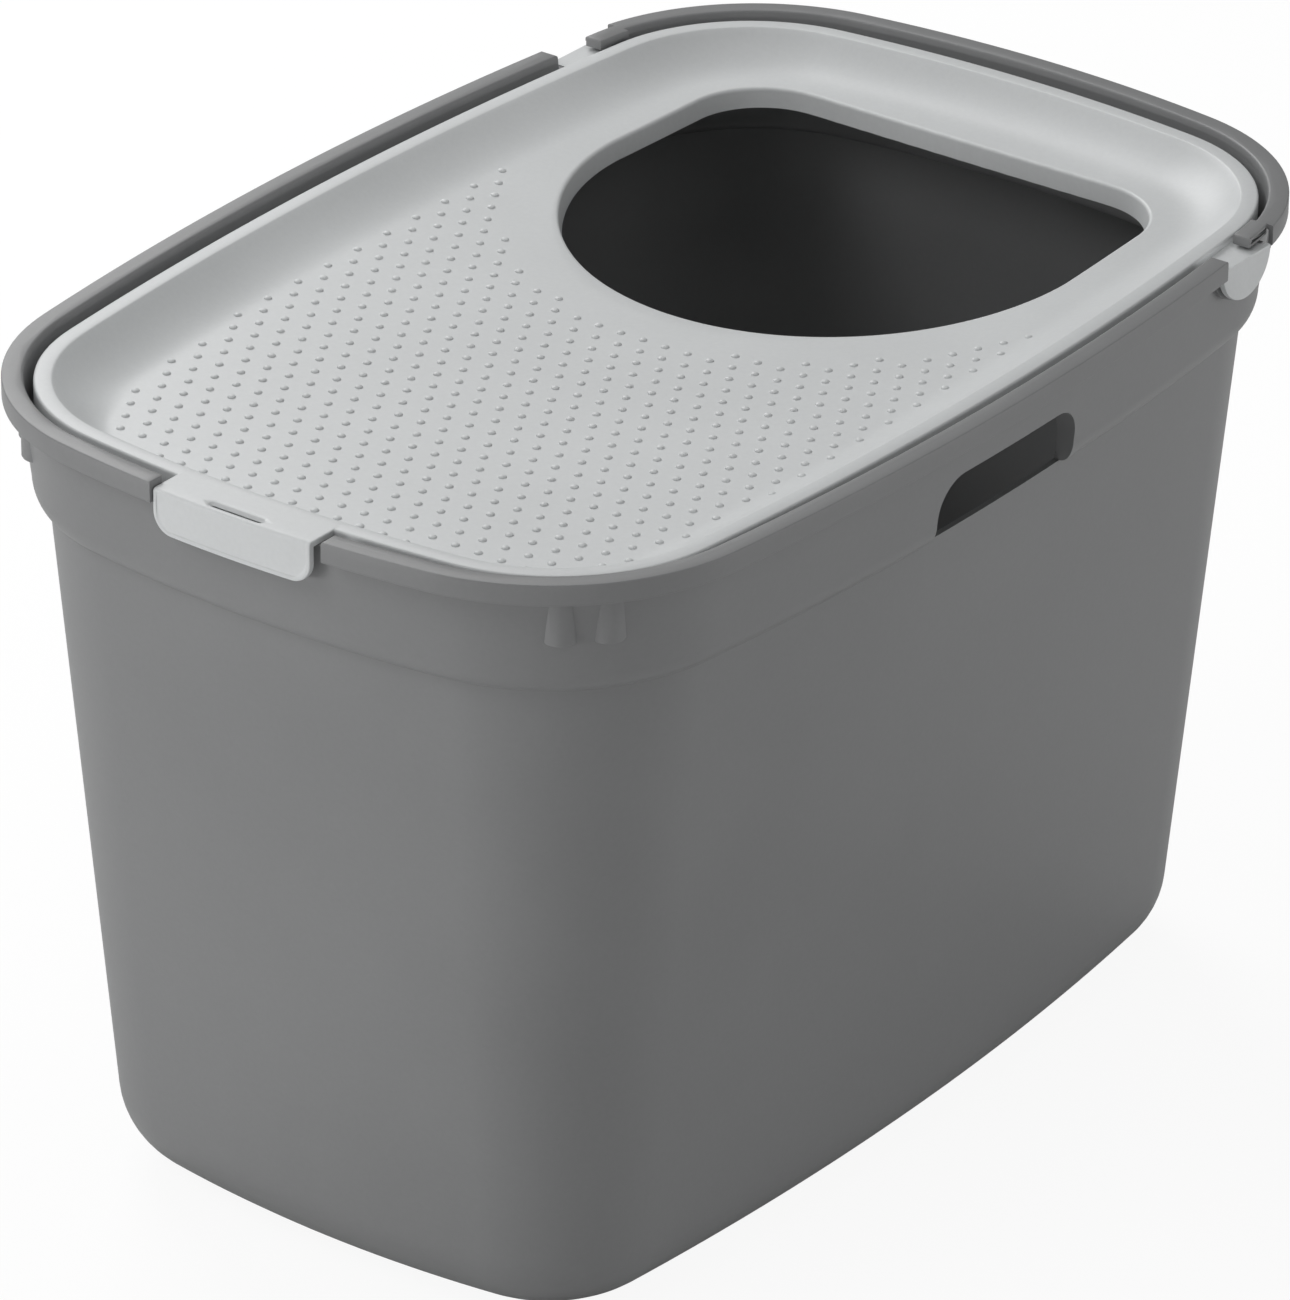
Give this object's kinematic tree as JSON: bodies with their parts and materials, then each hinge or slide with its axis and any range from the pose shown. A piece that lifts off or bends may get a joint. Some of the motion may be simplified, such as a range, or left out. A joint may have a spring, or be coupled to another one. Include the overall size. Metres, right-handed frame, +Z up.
{
  "type": "top entry litter box",
  "caption": "Deep grey plastic cat litter tub with a light grey dished lid, a large entry hole at the rear and a hinged front tab.",
  "frame": {"origin": "middle of the base on the floor", "axes": "+Z up, +Y from the front tab to the entry hole along the length, X across the width"},
  "size_m": [0.3862, 0.5786, 0.375],
  "materials": {
    "tub_plastic": "satin moulded polypropylene",
    "lid_plastic": "satin moulded polypropylene"
  },
  "bodies": {
    "tub": {"tub": "tub_plastic"},
    "lid": {"lid": "lid_plastic"}
  },
  "joints": [
    {"name": "lid_hinge", "type": "hinge", "parent": "tub", "child": "lid", "pos_m": [0, 0.178, 0.3685], "axis": [-1, 0, 0], "range_deg": [0, 75]}
  ]
}
